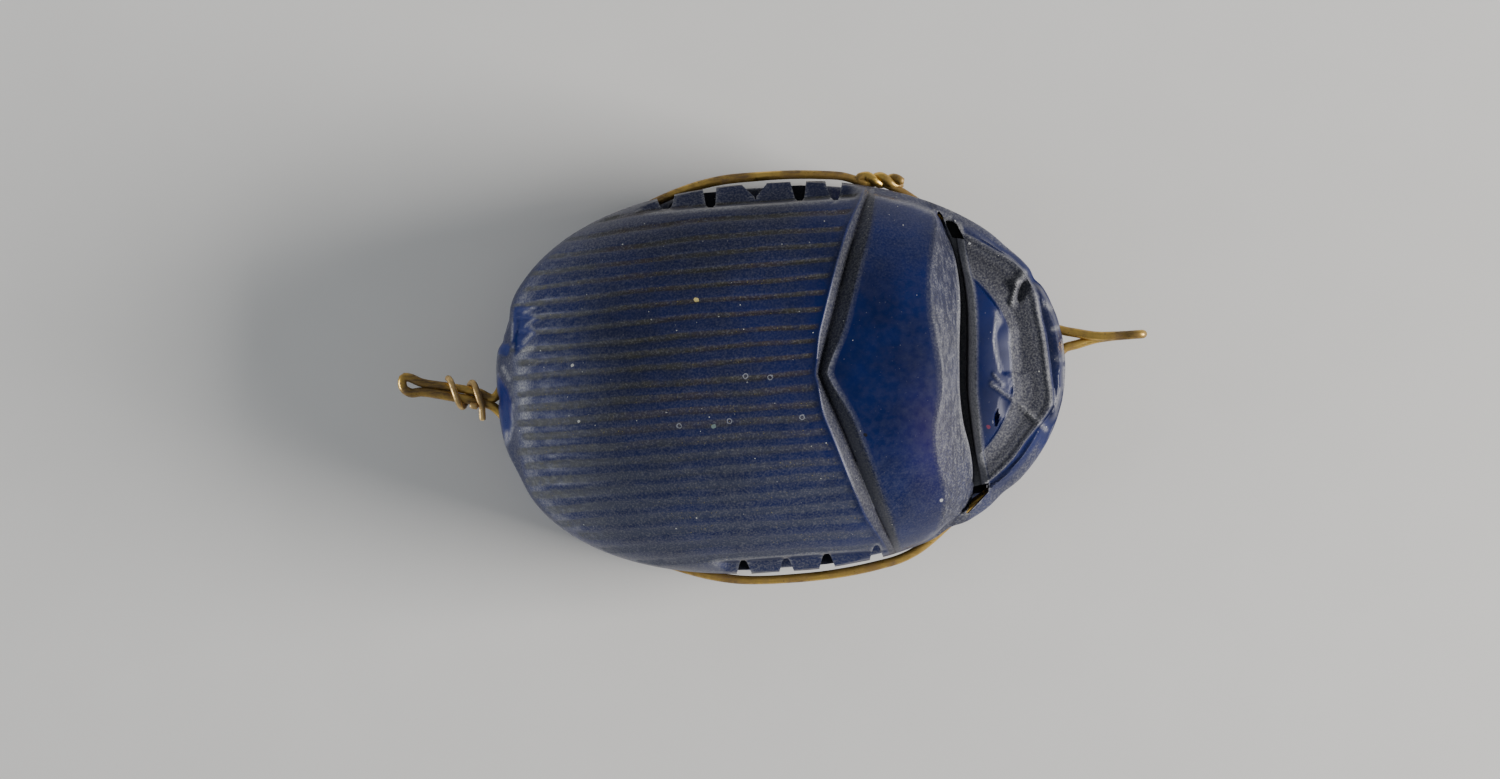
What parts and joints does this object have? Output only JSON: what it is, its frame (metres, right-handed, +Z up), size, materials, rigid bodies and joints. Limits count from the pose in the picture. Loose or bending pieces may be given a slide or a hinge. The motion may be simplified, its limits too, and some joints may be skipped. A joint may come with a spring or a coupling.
{
  "type": "scarab amulet",
  "caption": "Carved blue glass scarab with a flat underside, held by a gold wire round its waist with a hairpin eyelet at the tail and the head.",
  "frame": {"origin": "centre of the flat underside", "axes": "+X towards the beetle's head, +Z up out of the back, +Y across the body"},
  "size_m": [0.0265, 0.0146, 0.0084],
  "materials": {
    "blue_glass": "satin",
    "gold": "satin",
    "pale_gold": "satin"
  },
  "bodies": {
    "root": {"scarab": "blue_glass", "mount_wire": "gold", "tail_binding": "pale_gold"}
  },
  "joints": []
}
